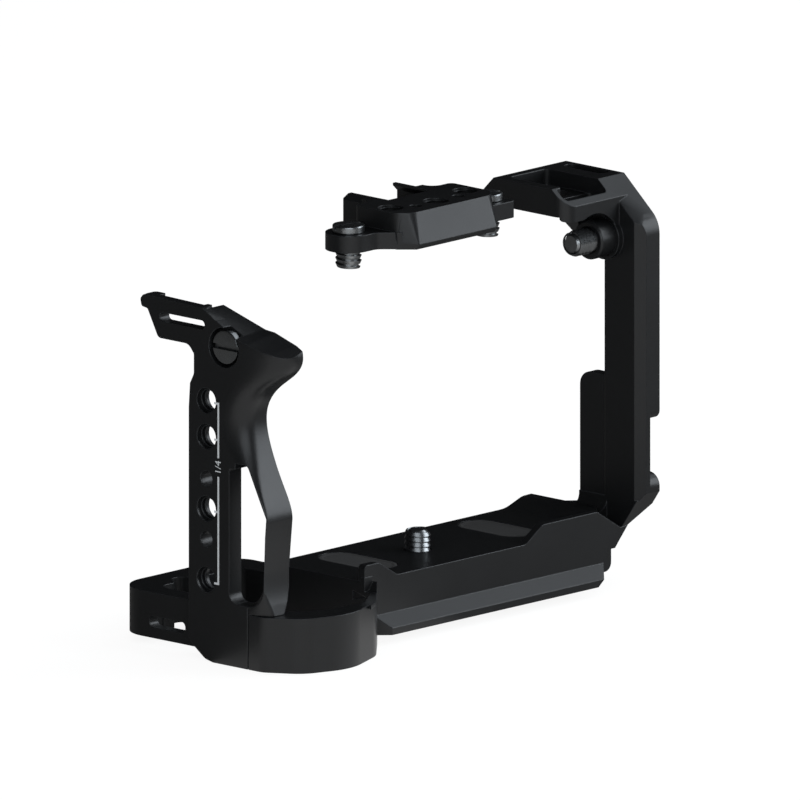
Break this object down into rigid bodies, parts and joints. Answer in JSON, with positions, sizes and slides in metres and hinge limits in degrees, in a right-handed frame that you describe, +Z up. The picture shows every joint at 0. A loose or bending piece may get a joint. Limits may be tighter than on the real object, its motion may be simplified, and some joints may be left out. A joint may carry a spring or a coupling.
{
  "type": "camera cage",
  "caption": "Metal cage that wraps a camera: base with dovetail rail and screw, grip ring and side plate with threaded holes, post with top arm, and a separate slotted top plate.",
  "frame": {"origin": "on the axis of the screw in the base, at the face the camera sits on", "axes": "+X from the grip side to the post, -Y to the lens side, +Z up"},
  "size_m": [0.1434, 0.0639, 0.1042],
  "materials": {
    "body_metal": "fine matte anodised, dark grey",
    "pad_rubber": "matte",
    "screw_steel": "turned, satin",
    "clip_steel": "dark spring steel"
  },
  "bodies": {
    "cage": {"cage_frame": "body_metal", "grip_side_plate": "body_metal", "seat_pad_left": "pad_rubber", "seat_pad_right": "pad_rubber", "tripod_screw_clip": "clip_steel", "plate_screws": "screw_steel", "plate_dowels": "clip_steel"},
    "top_plate": {"top_plate": "body_metal"},
    "tripod_screw": {"tripod_screw": "screw_steel"},
    "top_screw_left": {"top_screw_left": "screw_steel", "top_clip_left": "clip_steel"},
    "top_screw_right": {"top_screw_right": "screw_steel", "top_clip_right": "clip_steel"},
    "grip_side_screw": {"grip_side_screw": "screw_steel", "grip_side_clip": "clip_steel"},
    "post_side_screw": {"post_side_screw": "screw_steel", "post_side_clip": "clip_steel"}
  },
  "joints": [
    {"name": "tripod_screw_turn", "type": "hinge", "parent": "cage", "child": "tripod_screw", "pos_m": [0, 0, 0], "axis": [0, 0, 1], "continuous": true},
    {"name": "grip_side_screw_turn", "type": "hinge", "parent": "cage", "child": "grip_side_screw", "pos_m": [-0.07, -0.0046, 0.063], "axis": [1, 0, 0], "continuous": true},
    {"name": "post_side_screw_turn", "type": "hinge", "parent": "cage", "child": "post_side_screw", "pos_m": [0.064, -0.0046, 0.06875], "axis": [1, 0, 0], "continuous": true},
    {"name": "top_plate_lift", "type": "slide", "parent": "cage", "child": "top_plate", "axis": [0, 0, 1], "range_m": [0, 0.03]},
    {"name": "top_screw_left_turn", "type": "hinge", "parent": "top_plate", "child": "top_screw_left", "pos_m": [-0.0246, 0, 0.0812], "axis": [0, 0, 1], "continuous": true},
    {"name": "top_screw_right_turn", "type": "hinge", "parent": "top_plate", "child": "top_screw_right", "pos_m": [0.0246, 0, 0.0812], "axis": [0, 0, 1], "continuous": true}
  ]
}
